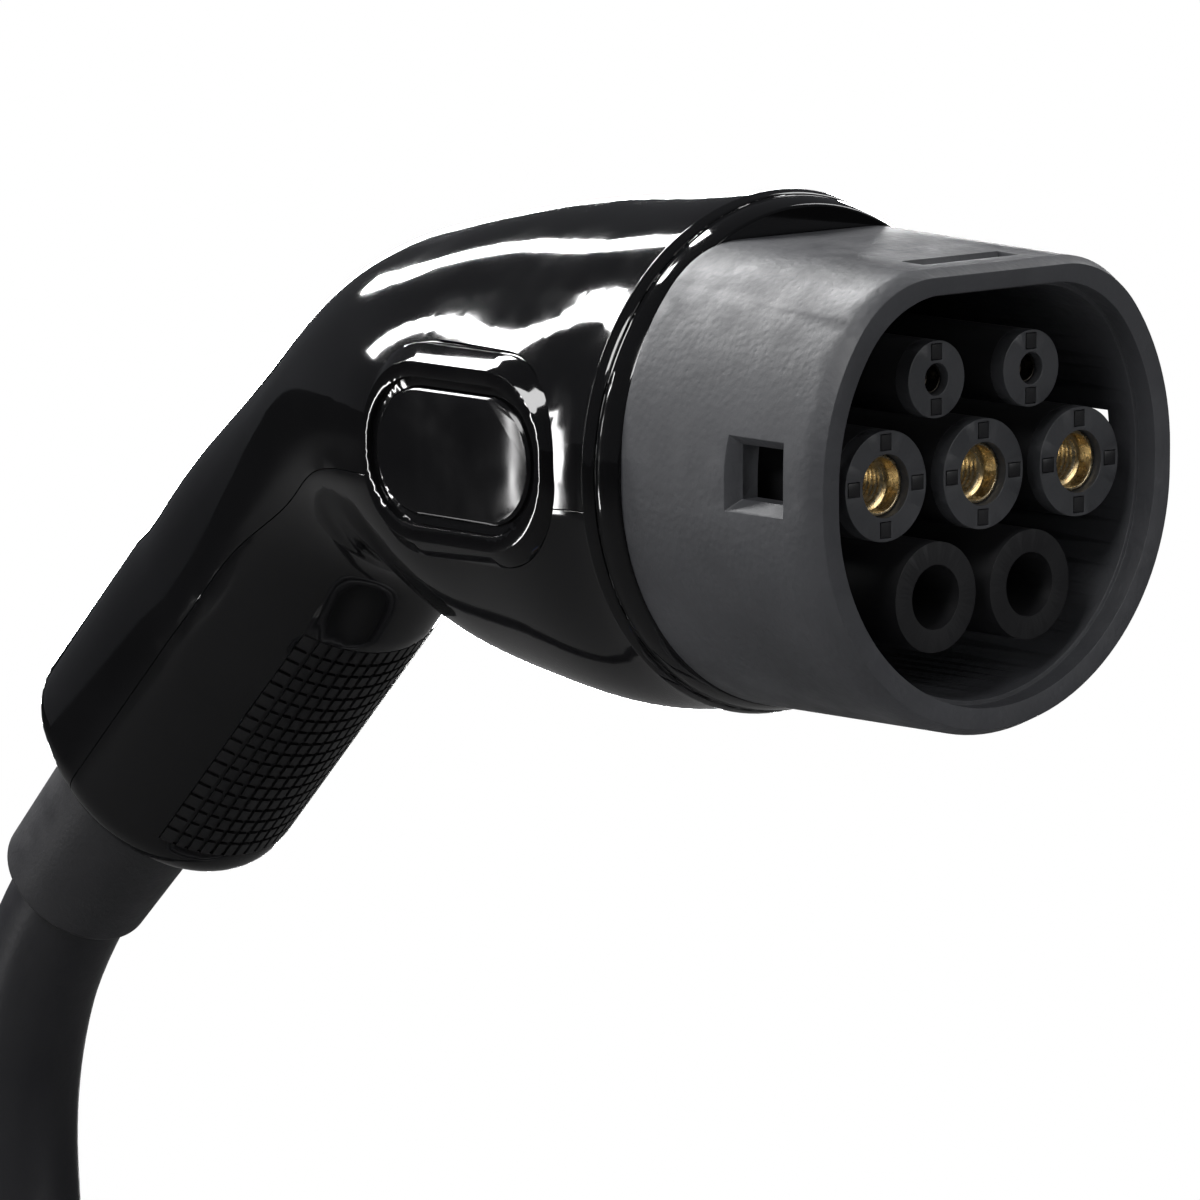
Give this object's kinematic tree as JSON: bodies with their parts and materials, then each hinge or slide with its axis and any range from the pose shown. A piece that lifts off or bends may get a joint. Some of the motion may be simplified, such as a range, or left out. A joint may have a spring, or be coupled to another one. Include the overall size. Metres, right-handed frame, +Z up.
{
  "type": "electric vehicle charging plug",
  "caption": "Pistol-grip Type 2 vehicle charging plug with a D-shaped nose shroud, sleeved socket contacts, a bent two-part housing and a coiled cable.",
  "frame": {"origin": "on the axis of the earth contact, in the plane of the nose's front rim", "axes": "-Y points out of the mating face towards the vehicle, +Z is up in use, with the flat of the nose on top, and the grip drops towards +Y and -Z; +X is to the right seen from behind the plug"},
  "size_m": [0.245, 0.3034, 0.3334],
  "materials": {
    "housing": "high-gloss black moulded plastic",
    "shroud": "finely grained charcoal-grey moulded plastic",
    "carrier": "satin black moulded plastic",
    "guard": "satin dark grey moulded plastic",
    "contact": "champagne plated copper alloy",
    "badge": "bare dark grey plate",
    "grip": "ribbed soft-touch plastic",
    "seal": "soft silicone",
    "boot": "satin black elastomer",
    "clamp": "matt black polyamide",
    "screw": "zinc plated",
    "sheath": "satin black polyurethane sheath",
    "core_brown": "brown core insulation",
    "core_blue": "blue core insulation",
    "core_earth": "green and yellow core insulation",
    "core_pilot": "white core insulation",
    "ferrule": "tin plated copper",
    "resistor": "lacquered resistor body"
  },
  "bodies": {
    "root": {"upper_housing": "housing", "lower_housing": "housing", "front_ring": "housing", "bezel_left": "housing", "bezel_right": "housing", "nose_shroud": "shroud", "contact_carrier": "carrier", "contact_retainer": "carrier", "touch_guard_l1": "guard", "touch_guard_n": "guard", "touch_guard_pe": "guard", "touch_guard_cp": "guard", "touch_guard_pp": "guard", "contact_l1": "contact", "contact_n": "contact", "contact_pe": "contact", "contact_cp": "contact", "contact_pp": "contact", "badge_left": "badge", "badge_right": "badge", "grip_panel": "grip", "rear_seal": "seal", "cable_boot": "boot", "clamp_base": "clamp", "clamp_bridge": "clamp", "retainer_screws": "screw", "housing_screws": "screw", "clamp_screws": "screw", "cable_entry": "sheath", "cable": "sheath", "cable_coil": "sheath", "cable_tail": "sheath", "core_l1": "core_brown", "far_core_l1": "core_brown", "core_n": "core_blue", "far_core_n": "core_blue", "core_pe": "core_earth", "far_core_pe": "core_earth", "core_cp": "core_pilot", "far_core_cp": "core_pilot", "far_ferrules": "ferrule", "coding_resistor": "resistor"}
  },
  "joints": []
}
